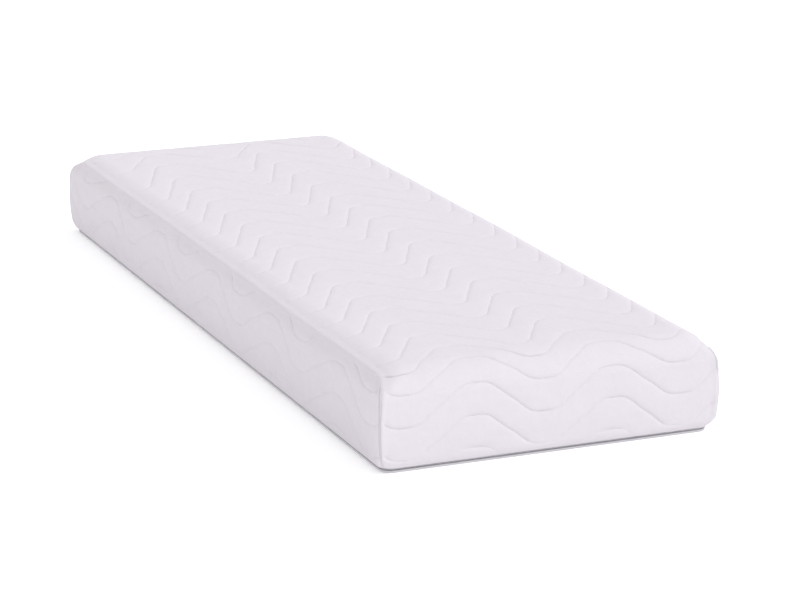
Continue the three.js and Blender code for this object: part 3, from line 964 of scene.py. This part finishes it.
def build_label():
    """A blank satin label, sewn in at the hem and lying up against the cover."""
    low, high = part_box("care_label")
    angles = np.radians(np.linspace(*LABEL_ANGLES, LABEL_GRID[0]))[:, None]
    y = np.linspace(low.y, high.y, LABEL_GRID[1])[None, :]
    angles, y = np.broadcast_arrays(angles, y)
    lift = (angles - angles.min()) / np.ptp(angles)
    curl = LABEL_CURL * lift * (1 + np.sin(LABEL_CURLS * y + LABEL_CURL_START))
    sides = []
    for thickness in LABEL_FACES:
        radius = BOTTOM_ROLL + thickness + curl
        x = HALF_WIDTH - BOTTOM_ROLL + radius * np.cos(angles)
        sides.append(np.stack([x, y, BOTTOM_ROLL + radius * np.sin(angles)], -1))
    label = finish_piece(layer_mesh("label", *sides), "cover", "label", "care_label")


# ---- the zip -------------------------------------------------------------------

TOOTH_PITCH = 0.0024
TOOTH_LENGTH = 0.0013
TOOTH_REACH = 0.0011        # from its middle, in and out
TOOTH_TAPER = 0.8
CHAIN_GAP = 0.0006          # from a stop to where the teeth end
STRAIGHT = 0.9              # least sideways part of the way out, on the long sides
TAPE_THICKNESS = 0.0006
TAPE_FLANGE = 0.012         # of the lower tape, sewn flat on the base cloth


def tooth_faces(count):
    """Faces of a row of teeth, each with three rings of four points."""
    one = [(3, 2, 1, 0), (8, 9, 10, 11)]
    for base in (0, 4):
        for side in range(4):
            after = (side + 1) % 4
            one.append((base + side, base + after, base + 4 + after, base + 4 + side))
    return (np.array(one)[None] + 12 * np.arange(count)[:, None, None]).reshape(-1, 4).tolist()


def tooth_places():
    """The middle of every tooth and the way out there, clear of the chain's break."""
    points, ways = ring(TEETH_OFFSET + TOOTH_REACH)
    points, ways = (np.concatenate([a, a[:1]]) for a in (points, ways))
    run = np.concatenate([[0], np.cumsum(np.linalg.norm(np.diff(points, axis=0), axis=-1))])
    places = np.arange(0, run[-1], TOOTH_PITCH)
    middle = np.stack([np.interp(places, run, points[:, k]) for k in (0, 1)], -1)
    way = np.stack([np.interp(places, run, ways[:, k]) for k in (0, 1)], -1)
    way /= np.linalg.norm(way, axis=-1, keepdims=True)
    break_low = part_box("zip_end_stop_lower")[0].y - CHAIN_GAP
    break_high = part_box("zip_start_stop_lower")[1].y + CHAIN_GAP
    gone = (middle[:, 0] > 0) & (middle[:, 1] > break_low) & (middle[:, 1] < break_high)
    gone &= np.abs(way[:, 0]) > STRAIGHT
    return middle[~gone], way[~gone]


def teeth_mesh(name, node):
    """A row of coil teeth, one every couple of millimetres, all round."""
    low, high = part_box(node)
    middle, way = tooth_places()
    ahead = np.stack([-way[:, 1], way[:, 0]], -1)
    corners = []
    for z, grow in ((low.z, TOOTH_TAPER), (mix(low.z, high.z, 0.5), 1.0), (high.z, TOOTH_TAPER)):
        for a, w in ((-1, -1), (1, -1), (1, 1), (-1, 1)):
            flat = middle + ahead * a * grow * TOOTH_LENGTH / 2 + way * w * grow * TOOTH_REACH
            corners.append(np.column_stack([flat, np.full(len(flat), z)]))
    teeth = new_piece(name, np.stack(corners, 1), tooth_faces(len(middle)))
    teeth.data.shade_flat()
    return teeth


def tape_section(low, high, flange):
    """A tape's section of (offset, height): a wall, with a flange turned in at its foot."""
    inner = TAPE_OFFSET + TAPE_THICKNESS
    wall = [(TAPE_OFFSET, low), (TAPE_OFFSET, high), (inner, high)]
    if not flange:
        return wall + [(inner, low)]
    shelf = low + TAPE_THICKNESS
    return wall + [(inner, shelf), (TAPE_OFFSET + flange, shelf), (TAPE_OFFSET + flange, low)]


def build_zip():
    points, _ = ring(TAPE_OFFSET)
    for row, body, flange, anchor in (
        ("lower", "core_and_base", TAPE_FLANGE, "base_cloth"), ("upper", "cover", 0, "quilt_top"),
    ):
        low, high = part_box(f"zip_tape_{row}")
        tape = sweep_mesh(f"tape_{row}", tape_section(low.z, high.z, flange))
        finish_piece(tape, body, "zip_tape", f"zip_tape_{row}")
        teeth = teeth_mesh(f"coil_{row}", f"zip_teeth_{row}")
        finish_piece(teeth, body, "zip_coil", f"zip_teeth_{row}")


METAL_BEVEL = 0.0002


def finish_hardware():
    """Looks for the small solids that the frame's own nodes show."""
    names = ["zip_slider", "zip_pull"]
    names += [f"zip_{end}_stop_{row}" for end in ("end", "start") for row in ("lower", "upper")]
    for name in names:
        node = frame["nodes"][name]
        for place in node.material_slots:
            place.material = MATERIALS["zip_metal"]
        edges = node.modifiers.new("edges", "BEVEL")
        edges.width = METAL_BEVEL
        edges.segments = 2
        edges.limit_method = "ANGLE"
    for place in frame["nodes"]["foam_bond"].material_slots:
        place.material = MATERIALS["bond"]


# ---- the core and the base -------------------------------------------------------


EDGE_STEPS = 4              # rings round a cut edge
ROLL_STEPS = 12             # rings over the memory foam's top roll
FLAT_STEPS = 12             # rings over a flat face
LEAST_RADIUS = 0.002
SUPPORT_EDGE = 0.003        # radii of the cut edges
MEMORY_EDGE = 0.0015
BASE_CLOTH_EDGE = 0.0006


def rounded_block(offset, low, high, edge, steps=EDGE_STEPS):
    """Levels of a cut block with slightly rounded edges."""
    levels = []
    for step in range(steps + 1):
        angle = step / steps * math.pi / 2
        levels.append((offset + edge * (1 - math.sin(angle)), low + edge * (1 - math.cos(angle))))
    levels += [(inset, low + high - z) for inset, z in reversed(levels)]
    return [(inset, z, BASE_CORNER) for inset, z in levels]


def flat_rings(offset, z, corner):
    """Rings over a flat face, from near its edge in to its middle."""
    insets = [mix(offset, HALF_WIDTH, share) for share in np.linspace(0.1, 0.97, FLAT_STEPS)]
    return [(inset, z, max(corner, inset + LEAST_RADIUS)) for inset in insets]


def build_core():
    core = CORE_OFFSET + CORE_GAP
    low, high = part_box("support_foam")
    foam_low = stack_mesh("foam_support", rounded_block(core, low.z, high.z, SUPPORT_EDGE))
    finish_piece(foam_low, "core_and_base", "support_foam", "support_foam")

    low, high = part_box("memory_foam")
    levels = rounded_block(core, low.z, high.z, MEMORY_EDGE)[:EDGE_STEPS + 1]
    radius = TOP_ROLL - core
    top = high.z - CORE_GAP
    for step in range(1, ROLL_STEPS + 1):
        roll = step / ROLL_STEPS * math.pi / 2
        inset = radius * (1 - math.cos(roll))
        bend = mix(BASE_CORNER, TOP_ROLL, float(smooth(0, ROUNDING_ANGLE, roll)))
        bend += FOAM_CORNER * float(smooth(0, FOAM_CORNER_ANGLE, roll)) + inset / 2
        offset = core + inset
        levels.append((offset, top - radius + radius * math.sin(roll), bend + inset))
    levels += flat_rings(offset, top, bend)
    foam_top = stack_mesh("foam_memory", levels, radius)
    finish_piece(foam_top, "core_and_base", "memory_foam", "memory_foam")

    low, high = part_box("bottom_panel")
    inner = TAPE_OFFSET + BASE_CLOTH_EDGE
    levels = flat_rings(inner, low.z, BASE_CORNER)[::-1]
    levels += rounded_block(TAPE_OFFSET, low.z, high.z, BASE_CLOTH_EDGE)
    levels += flat_rings(inner, high.z, BASE_CORNER)
    cloth = stack_mesh("base_cloth", levels)
    finish_piece(cloth, "core_and_base", "bottom_cloth", "bottom_panel")


# ---- camera, light and floor ---------------------------------------------------


LENS = 131.56               # millimetres, on a sensor 36 mm wide
SENSOR_WIDTH = 36.0
CAMERA_AZIMUTH = math.radians(-22.503)
CAMERA_ELEVATION = math.radians(15.585)
CAMERA_DISTANCE = 6.344
CAMERA_SHIFT = (0.0966, -0.056)     # of the camera, to its right and up
FLOOR_SIZE = 60.0
FLOOR_COLOUR = (0.95, 0.95, 0.95, 1)
WHITE = (1, 1, 1, 1)
FLOOR_GLOW = 0.18
SKY = 1.0
KEY = 1.4
KEY_SPREAD = math.radians(20)
KEY_FROM = (0.70, -0.50, 0.95)


def camera():
    data = bpy.data.cameras.new("camera")
    data.lens = LENS
    data.sensor_width = SENSOR_WIDTH
    obj = bpy.data.objects.new("camera", data)
    bpy.context.scene.collection.objects.link(obj)
    back = Vector((
        math.sin(CAMERA_AZIMUTH) * math.cos(CAMERA_ELEVATION),
        -math.cos(CAMERA_AZIMUTH) * math.cos(CAMERA_ELEVATION),
        math.sin(CAMERA_ELEVATION),
    ))
    right_way = (-back).cross(Vector((0, 0, 1))).normalized()
    up = right_way.cross(-back)
    aim = Vector((0, 0, HEIGHT / 2))
    right, rise = CAMERA_SHIFT
    obj.location = aim + back * CAMERA_DISTANCE + right_way * right + up * rise
    obj.rotation_euler = back.to_track_quat("Z", "Y").to_euler()
    bpy.context.scene.camera = obj


def build_floor():
    size = FLOOR_SIZE
    corners = [(-size, -size, 0), (size, -size, 0), (size, size, 0), (-size, size, 0)]
    floor = new_piece("floor", corners, [(0, 1, 2, 3)])
    paper = bpy.data.materials.new("floor")
    paper.use_nodes = True
    shader = paper.node_tree.nodes["Principled BSDF"]
    shader.inputs["Base Color"].default_value = FLOOR_COLOUR
    shader.inputs["Roughness"].default_value = 1.0
    shader.inputs["Specular IOR Level"].default_value = 0.0
    shader.inputs["Emission Color"].default_value = WHITE
    shader.inputs["Emission Strength"].default_value = FLOOR_GLOW
    floor.data.materials.append(paper)


def build_light():
    world = bpy.data.worlds.new("studio")
    world.use_nodes = True
    world.node_tree.nodes["Background"].inputs["Color"].default_value = WHITE
    world.node_tree.nodes["Background"].inputs["Strength"].default_value = SKY
    bpy.context.scene.world = world
    sun = bpy.data.lights.new("key", "SUN")
    sun.energy = KEY
    sun.angle = KEY_SPREAD
    key = bpy.data.objects.new("key", sun)
    bpy.context.scene.collection.objects.link(key)
    key.rotation_euler = Vector(KEY_FROM).to_track_quat("Z", "Y").to_euler()


build_core()
build_zip()
build_cover()
build_label()
finish_hardware()
camera()
build_floor()
build_light()
bpy.context.scene.view_settings.view_transform = "Standard"
